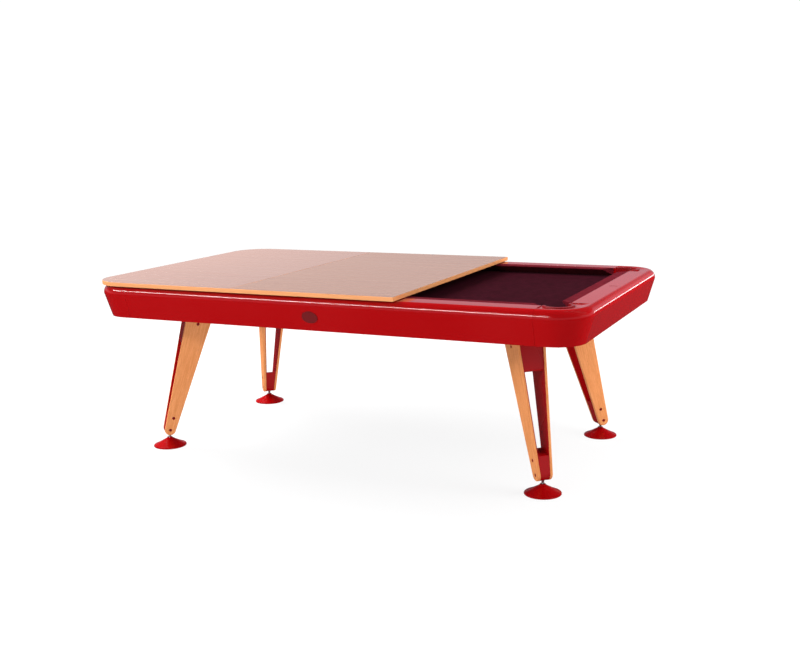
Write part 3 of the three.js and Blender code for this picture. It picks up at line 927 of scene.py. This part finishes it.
def webOutline():
    # the pressed web between the flanges, its lower end bent inwards to a short lip
    sink, steel, bend, lean = leg["webSink"], leg["steel"], leg["webBend"], leg["outerLean"]
    top, middleZ = leg["plateBottom"], leg["webBottom"] + leg["webBend"]
    centreX = outerEdge(middleZ, sink) - bend / math.cos(math.radians(lean))
    lipX = -leg["webLip"] * math.cos(math.radians(lean))
    lipZ = -leg["webLip"] * math.sin(math.radians(lean))

    def skin(depth):
        curve = arcPoints(centreX, middleZ, bend - depth, lean, lean - 90, 7)
        lipEnd = (curve[-1][0] + lipX, curve[-1][1] + lipZ)
        return [(outerEdge(top, sink + depth), top), *curve, lipEnd]

    return skin(0) + skin(steel)[::-1]


def topPlate():
    low, high = leg["plateBottom"], leg["plateBottom"] + leg["plateThickness"]
    w, a, b, r = leg["plateHalf"], leg["plateInner"], leg["plateOuter"], leg["plateCorner"]
    flat = [
        *arcPoints(b - r, w - r, r, 0, 90, 5), *arcPoints(a + r, w - r, r, 90, 180, 5),
        *arcPoints(a + r, r - w, r, 180, 270, 5), *arcPoints(b - r, r - w, r, 270, 360, 5),
    ]
    return sweep([[(x, y, z) for x, y in flat] for z in (low, high)])


def cornerTurn(signX, signY):
    out = math.radians(leg["angle"])
    angle = math.atan2(signY * math.sin(out), signX * math.cos(out))
    place = Matrix.Translation((signX * leg["footX"], signY * leg["footY"], 0))
    return place @ Matrix.Rotation(angle, 4, "Z")


boltHeights = {"upper": 574 * mm, "lower": 136 * mm}
boltPlaces = {name: ((outerEdge(z) + innerEdge(z)) / 2, z) for name, z in boltHeights.items()}
boltPlaces["end"] = (leg["endShift"], leg["endHeight"])
boltSize = {
    "headRadius": 7 * mm,
    "headHeight": 3.6 * mm,
    "socketRadius": 2.9 * mm,
    "socketDepth": 2.4 * mm,
    "shankRadius": 4 * mm,
    "recess": 3 * mm,
    "recessRadius": 7.3 * mm,
    "underHead": 0.3 * mm,  # the dome stands this far off the recess's floor
}


def recessDrill(side, x, z):
    face = halfGap(z) + table["clearance"] + leg["wood"]
    circle = arcPoints(x, z, boltSize["recessRadius"], 0, 360, 40)[:-1]
    rings = [[(px, side * y, pz) for px, pz in circle] for y in (face - boltSize["recess"], face + 6 * mm)]
    return makePiece("recessDrill", *sweep(rings), legOak)


def giveGrain(piece, seed):
    # each point's place along, across and through the board, so the grain follows the board
    chance = np.random.default_rng(seed)
    shift = chance.uniform(-5, 5, 3)
    lean = math.radians((leg["outerLean"] + leg["innerLean"]) / 2)
    attribute = piece.data.attributes.new("grain", "FLOAT_VECTOR", "POINT")
    for i, vertex in enumerate(piece.data.vertices):
        x, y, z = vertex.co
        along = z * math.cos(lean) - x * math.sin(lean)
        across = x * math.cos(lean) + z * math.sin(lean)
        attribute.data[i].vector = (across + shift[0], y + shift[1], along + shift[2])


legCorners = {"front_left": (-1, -1), "front_right": (1, -1), "back_right": (1, 1), "back_left": (-1, 1)}


def drilledBlock(inside):
    # the solid lower end between the flanges, with the hole for the foot's stem
    outlinePoints = bladeOutline(leg["blockOuterTop"], leg["blockInnerTop"], leg["blockInset"])
    block = makePiece("block", *blockBetween(outlinePoints, inside), legEnamel)
    size = (leg["stemHole"], leg["stemHoleBottom"], leg["stemHoleTop"])
    cutAway(block, [roundCutter((0, 0), *size, legEnamel, 32)])
    points = [tuple(vertex.co) for vertex in block.data.vertices]
    faces = [tuple(polygon.vertices) for polygon in block.data.polygons]
    bpy.data.objects.remove(block)
    return points, faces


def legCorePoints():
    inside = leg["steel"] - leg["weldLap"]
    top = leg["plateBottom"] + leg["weldLap"]
    soft = leg["steelRound"]
    flanges = [bladePlate(side, -leg["steel"], 0.0, soft, soft, top, top) for side in (-1, 1)]
    return joined(*flanges, blockBetween(webOutline(), inside), drilledBlock(inside), topPlate())


corePoints, coreFaces = legCorePoints()
seed = 11
for cornerName, signs in legCorners.items():
    turn = cornerTurn(*signs)
    title = camelName(cornerName)
    core = makePiece(f"{title}LegCore", corePoints, coreFaces, legEnamel, 40)
    core.data.transform(turn)
    finishPiece(core, "table", [f"leg_core_{cornerName}"])
    for sideName, side in (("left", -1), ("right", 1)):
        near, far = table["clearance"], table["clearance"] + leg["wood"]
        shape = bladePlate(side, near, far, leg["woodBackRound"], leg["woodRound"], leg["top"], leg["top"])
        piece = makePiece(f"{title}LegBoard{sideName.title()}", *shape, legOak, 40)
        cutAway(piece, [recessDrill(side, *place) for place in boltPlaces.values()])
        tidyNormals(piece, 40)
        giveGrain(piece, seed)
        seed += 7
        piece.data.transform(turn)
        finishPiece(piece, "table", [f"leg_board_{sideName}_{cornerName}"])
print("legs made")


# bolts: domed heads with a hex socket, set on every place by Geometry Nodes


boltInputs = {
    "Head Radius": "headRadius",
    "Head Height": "headHeight",
    "Socket Radius": "socketRadius",
    "Socket Depth": "socketDepth",
    "Shank Radius": "shankRadius",
}


def boltTree():
    tree = bpy.data.node_groups.new("domed socket bolts", "GeometryNodeTree")
    face = tree.interface
    face.new_socket("Geometry", in_out="INPUT", socket_type="NodeSocketGeometry")
    for name in boltInputs:
        face.new_socket(name, in_out="INPUT", socket_type="NodeSocketFloat")
    face.new_socket("Finish", in_out="INPUT", socket_type="NodeSocketMaterial")
    face.new_socket("Geometry", in_out="OUTPUT", socket_type="NodeSocketGeometry")
    given = addNode(tree, "NodeGroupInput").outputs
    # dome: the upper half of a ball pressed down to the head's height
    ball = addNode(
        tree, "GeometryNodeMeshUVSphere", {"Segments": 32, "Rings": 16, "Radius": given["Head Radius"]}
    )
    flatness = addNode(
        tree, "ShaderNodeMath", {0: given["Head Height"], 1: given["Head Radius"]}, operation="DIVIDE"
    )
    squash = addNode(tree, "ShaderNodeCombineXYZ", {0: 1.0, 1: 1.0, 2: flatness.outputs[0]})
    dome = addNode(tree, "GeometryNodeTransform", {"Geometry": ball.outputs[0], "Scale": squash.outputs[0]})
    twice = addNode(tree, "ShaderNodeMath", {0: given["Socket Depth"], 1: 2.0}, operation="MULTIPLY")
    hexagon = addNode(
        tree, "GeometryNodeMeshCylinder",
        {"Vertices": 6, "Radius": given["Socket Radius"], "Depth": twice.outputs[0]},
    )
    atTop = addNode(tree, "ShaderNodeCombineXYZ", {2: given["Head Height"]})
    socket = addNode(
        tree, "GeometryNodeTransform", {"Geometry": hexagon.outputs[0], "Translation": atTop.outputs[0]}
    )
    head = addNode(tree, "GeometryNodeMeshBoolean", {0: dome.outputs[0], 1: socket.outputs[0]},
                   operation="DIFFERENCE", solver="EXACT")
    # shank: a unit length that each place stretches to reach the middle of its bolt
    shank = addNode(
        tree, "GeometryNodeMeshCylinder", {"Vertices": 20, "Radius": given["Shank Radius"], "Depth": 1.0}
    )
    below = addNode(
        tree, "GeometryNodeTransform", {"Geometry": shank.outputs[0], "Translation": (0, 0, -0.5)}
    )
    facing = addNode(tree, "GeometryNodeInputNamedAttribute", {"Name": "facing"}, data_type="FLOAT_VECTOR")
    reach = addNode(tree, "GeometryNodeInputNamedAttribute", {"Name": "reach"}, data_type="FLOAT")
    turned = addNode(
        tree, "FunctionNodeAlignRotationToVector", {"Vector": facing.outputs["Attribute"]}, axis="Z"
    )
    stretch = addNode(tree, "ShaderNodeCombineXYZ", {0: 1.0, 1: 1.0, 2: reach.outputs["Attribute"]})
    heads = addNode(
        tree, "GeometryNodeInstanceOnPoints",
        {"Points": given["Geometry"], "Instance": head.outputs[0], "Rotation": turned.outputs[0]},
    )
    shanks = addNode(
        tree, "GeometryNodeInstanceOnPoints",
        {"Points": given["Geometry"], "Instance": below.outputs[0], "Rotation": turned.outputs[0],
         "Scale": stretch.outputs[0]},
    )
    both = addNode(tree, "GeometryNodeJoinGeometry")
    tree.links.new(heads.outputs[0], both.inputs[0])
    tree.links.new(shanks.outputs[0], both.inputs[0])
    real = addNode(tree, "GeometryNodeRealizeInstances", {"Geometry": both.outputs[0]})
    painted = addNode(
        tree, "GeometryNodeSetMaterial", {"Geometry": real.outputs[0], "Material": given["Finish"]}
    )
    addNode(tree, "NodeGroupOutput", {"Geometry": painted.outputs[0]})
    return tree


def setBolts(name, tree, places, sizes, finish):
    # places: (point, direction the head faces, length of shank behind the head)
    mesh = bpy.data.meshes.new(name)
    mesh.from_pydata([tuple(p) for p, _, _ in places], [], [])
    facing = mesh.attributes.new("facing", "FLOAT_VECTOR", "POINT")
    facing.data.foreach_set("vector", [v for _, direction, _ in places for v in direction])
    reach = mesh.attributes.new("reach", "FLOAT", "POINT")
    reach.data.foreach_set("value", [length for _, _, length in places])
    piece = bpy.data.objects.new(name, mesh)
    scene.collection.objects.link(piece)
    modifier = piece.modifiers.new("bolts", "NODES")
    modifier.node_group = tree
    values = {**{name: sizes[key] for name, key in boltInputs.items()}, "Finish": finish}
    for item in tree.interface.items_tree:
        if item.in_out == "INPUT" and item.name in values:
            modifier[item.identifier] = values[item.name]
    applyModifiers(piece)
    for attribute in ("facing", "reach"):
        if attribute in piece.data.attributes:
            piece.data.attributes.remove(piece.data.attributes[attribute])
    piece.data.shade_smooth()
    piece.data.set_sharp_from_angle(angle=math.radians(35))
    return piece


boltNodes = boltTree()
for placeName, (x, z) in boltPlaces.items():
    places = []
    for signs in legCorners.values():
        turn = cornerTurn(*signs)
        headHeight = halfGap(z) + table["clearance"] + leg["wood"] - boltSize["recess"]
        headHeight += boltSize["underHead"]
        for side in (-1, 1):
            point = turn @ Vector((x, side * headHeight, z))
            facing = turn.to_3x3() @ Vector((0, side, 0))
            places.append((point, facing, headHeight))
    bolts = setBolts(f"{placeName}LegBolts", boltNodes, places, boltSize, boltEnamel)
    finishPiece(bolts, "table", [f"leg_bolt_{placeName}_{name}" for name in legCorners])
print("leg bolts set")

# small screws up through the skirt's turned-in lip hold the skins to the sub-frame
lipScrews = {
    "spacing": 210 * mm,
    "inset": 40 * mm,
    "fromSeam": 60 * mm,
    "cornerAngles": (22.5, 67.5),
    "headRadius": 4.5 * mm,
    "headHeight": 2.2 * mm,
    "socketRadius": 1.7 * mm,
    "socketDepth": 1.4 * mm,
    "shankRadius": 2 * mm,
    "shankLength": 8 * mm,
}


def lipPlaces():
    down, z = Vector((0, 0, -1)), table["skirtBottom"]
    places = []
    for outX, outY, reach, half in sides.values():
        last = half - lipScrews["fromSeam"]
        count = round(2 * last / lipScrews["spacing"])
        for s in np.linspace(-last, last, count + 1):
            out = reach - lipScrews["inset"]
            places.append(((outX * out - outY * s, outY * out + outX * s, z), down, lipScrews["shankLength"]))
    for signX, signY in legCorners.values():
        for angle in lipScrews["cornerAngles"]:
            a = math.radians(angle)
            out = table["cornerRadius"] - lipScrews["inset"]
            x, y = signX * (cornerX + out * math.cos(a)), signY * (cornerY + out * math.sin(a))
            places.append(((x, y, z), down, lipScrews["shankLength"]))
    return places


screws = setBolts("skirtLipScrews", boltNodes, lipPlaces(), lipScrews, blackCoat)
finishPiece(screws, "table")
print("lip screws set")


# levelling feet: threaded stems and turned cones

foot = {
    "radius": 75 * mm,
    "rim": 6 * mm,
    "rimRound": 2.2 * mm,
    "coneTop": 38 * mm,
    "bossRadius": 12 * mm,
    "bossTop": 41 * mm,
    "neck": 6.3 * mm,
    "chamber": 9.3 * mm,
    "edgeBreak": 0.8 * mm,
    "baseBreak": 1.2 * mm,
    "coneStart": (71 * mm, 6.4 * mm),  # radius and height
    "coneEnd": (15 * mm, 36 * mm),
    "coneHollow": 0.035,  # the cone is drawn in very slightly, as turned
}
stem = {
    "radius": 6 * mm,
    "collarRadius": 9 * mm,
    "collarBottom": 24 * mm,
    "collarTop": 29 * mm,
    "top": 73 * mm,
    "pitch": 1.75 * mm,
    "threadDepth": 0.9 * mm,
    "rootShare": 0.15,  # of the thread's wave, flat at the root
    "flankShare": 0.7,
    "stepsPerTurn": 24,
    "rowsPerTurn": 4,
    "edgeBreak": 0.5 * mm,
}


def footProfile():
    r, rim, edge, gap = foot["radius"], foot["rim"], foot["rimRound"], table["clearance"]
    boss, bossTop, softness = foot["bossRadius"], foot["bossTop"], foot["edgeBreak"]
    (startR, startZ), (endR, endZ) = foot["coneStart"], foot["coneEnd"]
    cone = [
        (startR + (endR - startR) * t,
         startZ + (endZ - startZ) * (t - foot["coneHollow"] * math.sin(math.pi * t)))
        for t in np.linspace(0.02, 1.0, 10)
    ]
    return [
        (0, 0),
        (r - foot["baseBreak"], 0),
        (r, foot["baseBreak"]),
        *arcPoints(r - edge, rim - edge, edge, 0, 62, 5),
        *cone,
        (boss + 1 * mm, foot["coneTop"] - softness),
        (boss, foot["coneTop"] + 0.6 * mm),
        (boss, bossTop - softness),
        (boss - softness, bossTop),
        (foot["neck"], bossTop),
        (foot["neck"], stem["collarTop"] + gap),
        (foot["chamber"], stem["collarTop"] + gap),
        (foot["chamber"], stem["collarBottom"] - gap),
        (0, stem["collarBottom"] - gap),
    ]


def threadPart():
    # an open helix of crests and roots, closed by a disc at each end
    low, high, steps = stem["collarTop"] - stem["edgeBreak"], stem["top"], stem["stepsPerTurn"]
    perTurn, depth = stem["rowsPerTurn"], stem["threadDepth"]
    rows = int((high - low) / stem["pitch"]) * perTurn
    rings = []
    for row in range(rows + 1):
        ring = []
        for i in range(steps):
            phase = (row / perTurn - i / steps) % 1.0
            wave = 1 - abs(2 * phase - 1)
            climb = min(1.0, max(0.0, (wave - stem["rootShare"]) / stem["flankShare"]))
            r, a = stem["radius"] - depth + depth * climb, 2 * math.pi * i / steps
            ring.append((r * math.cos(a), r * math.sin(a), low + (high - low) * row / rows))
        rings.append(ring)
    return sweep(rings)


def collarProfile():
    r, low, high, softness = stem["collarRadius"], stem["collarBottom"], stem["collarTop"], stem["edgeBreak"]
    corners = [(r - softness, low), (r, low + softness), (r, high - softness), (r - softness, high)]
    return [(0, low), *corners, (0, high)]


for cornerName, (signX, signY) in legCorners.items():
    title = camelName(cornerName)
    move = Matrix.Translation((signX * leg["footX"], signY * leg["footY"], 0))
    cone = makePiece(f"{title}Foot", *spin(footProfile(), 96), footEnamel, 40)
    cone.data.transform(move)
    finishPiece(cone, f"foot_disc_{cornerName}", [f"foot_disc_{cornerName}"])
    rod = makePiece(f"{title}FootStem", *joined(spin(collarProfile(), 48), threadPart()), zincSteel, 60)
    rod.data.transform(move)
    finishPiece(rod, f"foot_stem_{cornerName}", [f"foot_stem_{cornerName}"])
print("levelling feet made")


# small fittings: blank oval badge, inlaid sight lines

badge = {
    "width": 73 * mm,
    "height": 53 * mm,
    "thickness": 2 * mm,
    "rim": 3.2 * mm,
    "sink": 0.7 * mm,
    "centre": -10 * mm,
    "centreHeight": 694 * mm,
}


def badgePart():
    a, b, t, gap = badge["width"] / 2, badge["height"] / 2, badge["thickness"], 0.3 * mm
    rim, sink = badge["rim"], badge["sink"]
    # (how far in from the edge, height)
    steps = [
        (0.5 * mm, gap), (0.0, gap + 0.5 * mm), (0.0, gap + t - 0.8 * mm), (0.25 * mm, gap + t - 0.25 * mm),
        (0.9 * mm, gap + t), (rim - 0.9 * mm, gap + t), (rim - 0.3 * mm, gap + t - 0.2 * mm),
        (rim, gap + t - sink), (rim + 6 * mm, gap + t - sink + 0.15 * mm),
    ]
    rings = [
        [(x, y, h) for x, y in arcPoints(0, 0, a - inset, 0, 360, 72, rise=b - inset)[:-1]]
        for inset, h in steps
    ]
    return sweep(rings)


crease = table["railTop"] - rail["noseHeight"]
skirtLean = math.atan2(rail["skirtInset"], crease - table["skirtBottom"])
badgeInset = (crease - badge["centreHeight"]) * math.tan(skirtLean)
badgePlate = makePiece("badgePlate", *badgePart(), badgeEnamel, 30)
badgePlate.data.transform(
    Matrix.Translation((badge["centre"], badgeInset - table["halfWidth"], badge["centreHeight"]))
    @ Matrix.Rotation(math.pi / 2 + skirtLean, 4, "X")
)
finishPiece(badgePlate, "table", ["badge"])

sightLine = {
    "start": 1052 * mm,
    "end": 1088 * mm,
    "width": 6 * mm,
    "proud": 0.12 * mm,
}


def inlayPart(sign):
    w, top = sightLine["width"] / 2, table["railTop"]
    a, b = sightLine["start"] + w, sightLine["end"] - w
    flat = arcPoints(b, 0, w, -90, 90, 8) + arcPoints(a, 0, w, 90, 270, 8)
    return sweep([[(sign * x, y, z) for x, y in flat] for z in (top - 1 * mm, top + sightLine["proud"])])


sightLines = makePiece("sightLines", *joined(inlayPart(1), inlayPart(-1)), sightInlay, 40)
finishPiece(sightLines, "table")
print("badge and sight lines made")

# nodes whose shape is already right get their real finish
for nodeName, material in {
    "slate_bed": groundSlate,
    "frame_beam_front": blackCoat,
    "frame_beam_back": blackCoat,
    "frame_cross_beam": blackCoat,
}.items():
    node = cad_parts[nodeName]
    for materialSlot in node.material_slots:
        materialSlot.material = material


# floor, light and camera

studio = {
    "floorRadius": 60.0,
    # the floor glows less near the table: a painted soft shade round the table, on top of the real shadow on
    # the floor's matt part
    "glowUnderPaintedShade": 0.85,  # near the table; farther out the floor is plain white
    "glowRisesFrom": 1.2,
    "glowRisesTo": 2.3,
    "floorShade": 0.14,
    "backdrop": 1.05,
    "horizonLight": 0.44,  # what grazing surfaces reflect
    "skyLight": 0.1,
    "groundLight": 0.05,
    "horizonBand": (0.06, 0.2),  # the sine of the heights between which the horizon is bright
    "skyStart": 0.3,
    "domeColour": (0.96, 0.96, 1.1, 1),
}

floorPoints = [(*p, 0.0) for p in arcPoints(0, 0, studio["floorRadius"], 0, 360, 64)[:-1]]
floorMaterial, floorTree = emptyMaterial("white studio floor")
floorCoords = addNode(floorTree, "ShaderNodeTexCoord").outputs["Object"]
away = addNode(floorTree, "ShaderNodeVectorMath", {0: floorCoords}, operation="LENGTH")
glowRange = {1: studio["glowRisesFrom"], 2: studio["glowRisesTo"], 3: studio["glowUnderPaintedShade"]}
glowStrength = addNode(
    floorTree, "ShaderNodeMapRange", {0: away.outputs["Value"], **glowRange}
).outputs[0]
matt = addNode(floorTree, "ShaderNodeBsdfDiffuse", {"Color": (studio["floorShade"],) * 3 + (1,)})
glow = addNode(floorTree, "ShaderNodeEmission", {"Color": (1, 1, 1, 1), "Strength": glowStrength})
both = addNode(floorTree, "ShaderNodeAddShader", {0: matt.outputs[0], 1: glow.outputs[0]})
addNode(floorTree, "ShaderNodeOutputMaterial", {"Surface": both.outputs[0]})
floor = makePiece("studioFloor", floorPoints, [tuple(range(64))], floorMaterial)
for polygon in floor.data.polygons:
    if polygon.normal.z < 0:
        polygon.flip()
floor.visible_glossy = False

# a white room: bright along the horizon, where it shows in the rail tops, and quiet above
world = bpy.data.worlds.new("white room")
world.use_nodes = True
scene.world = world
room = world.node_tree
room.nodes.clear()
direction = addNode(room, "ShaderNodeTexCoord").outputs["Generated"]
up = addNode(room, "ShaderNodeSeparateXYZ", {0: direction}).outputs[2]
bandLow, bandHigh = studio["horizonBand"]
rise = {1: 0.0, 2: bandLow, 3: studio["groundLight"], 4: studio["horizonLight"]}
fade = {1: bandHigh, 2: studio["skyStart"], 3: studio["horizonLight"], 4: studio["skyLight"]}
edges = [addNode(room, "ShaderNodeMapRange", {0: up, **band}).outputs[0] for band in (rise, fade)]
strength = addNode(room, "ShaderNodeMath", {0: edges[0], 1: edges[1]}, operation="MINIMUM").outputs[0]
dome = addNode(room, "ShaderNodeBackground", {"Color": studio["domeColour"], "Strength": strength})
backdrop = addNode(room, "ShaderNodeBackground", {"Color": (1, 1, 1, 1), "Strength": studio["backdrop"]})
rays = addNode(room, "ShaderNodeLightPath")
seen = addNode(
    room, "ShaderNodeMixShader",
    {0: rays.outputs["Is Camera Ray"], 1: dome.outputs[0], 2: backdrop.outputs[0]},
)
addNode(room, "ShaderNodeOutputWorld", {"Surface": seen.outputs[0]})


def addLamp(name, place, target, width, height, power, shiny=True):
    lamp = bpy.data.lights.new(name, "AREA")
    lamp.shape = "RECTANGLE"
    lamp.size, lamp.size_y, lamp.energy = width, height, power
    holder = bpy.data.objects.new(name, lamp)
    holder.location = place
    holder.rotation_euler = (Vector(target) - Vector(place)).to_track_quat("-Z", "Y").to_euler()
    scene.collection.objects.link(holder)
    holder.visible_camera = False
    holder.visible_glossy = shiny
    return holder


# plain soft light for colour: high from the left, over the open end, from the front
# at table height and low down at the legs, and past the right end
addLamp("highSoftbox", (-3.2, 0.8, 3.6), (0.2, 0, 0.8), 4.0, 3.0, 500.0, shiny=False)
addLamp("rightSoftbox", (1.9, 0.0, 1.75), (1.0, 0, 0.8), 0.8, 1.8, 32.0, shiny=False)
addLamp("frontSoftbox", (-1.0, -5.2, 1.3), (0, -0.6, 0.6), 4.0, 1.4, 12.0, shiny=False)
addLamp("lowSoftbox", (1.2, -4.4, 0.3), (0.4, -0.5, 0.4), 3.0, 0.4, 30.0, shiny=False)
addLamp("endSoftbox", (3.4, 1.9, 0.6), (1.1, 0.1, 0.6), 2.0, 0.6, 102.0, shiny=False)
# two strips whose reflections run along the bullnoses
addLamp("frontStrip", (-2.2, -3.9, 2.95), (-0.3, -0.6, 0.75), 6.5, 0.2, 190.0)
addLamp("endStrip", (2.25, 3.9, 0.95), (1.13, 0.0, 0.75), 1.4, 0.12, 4.0)

view = {
    "lens": 48.35,
    "sensor": 36.0,
    "farthest": 200.0,
    "place": (2.16079, -4.34444, 1.45421),
    "turn": 25.5047,
    "lookDown": 11.0722,
    "roll": -1.278,
}
cameraData = bpy.data.cameras.new("camera")
cameraData.lens, cameraData.sensor_width = view["lens"], view["sensor"]
cameraData.clip_end = view["farthest"]
camera = bpy.data.objects.new("camera", cameraData)
scene.collection.objects.link(camera)
camera.matrix_world = (
    Matrix.Translation(view["place"])
    @ Matrix.Rotation(math.radians(view["turn"]), 4, "Z")
    @ Matrix.Rotation(math.radians(90 - view["lookDown"]), 4, "X")
    @ Matrix.Rotation(math.radians(view["roll"]), 4, "Z")
)
scene.camera = camera
print("floor, light and camera set")
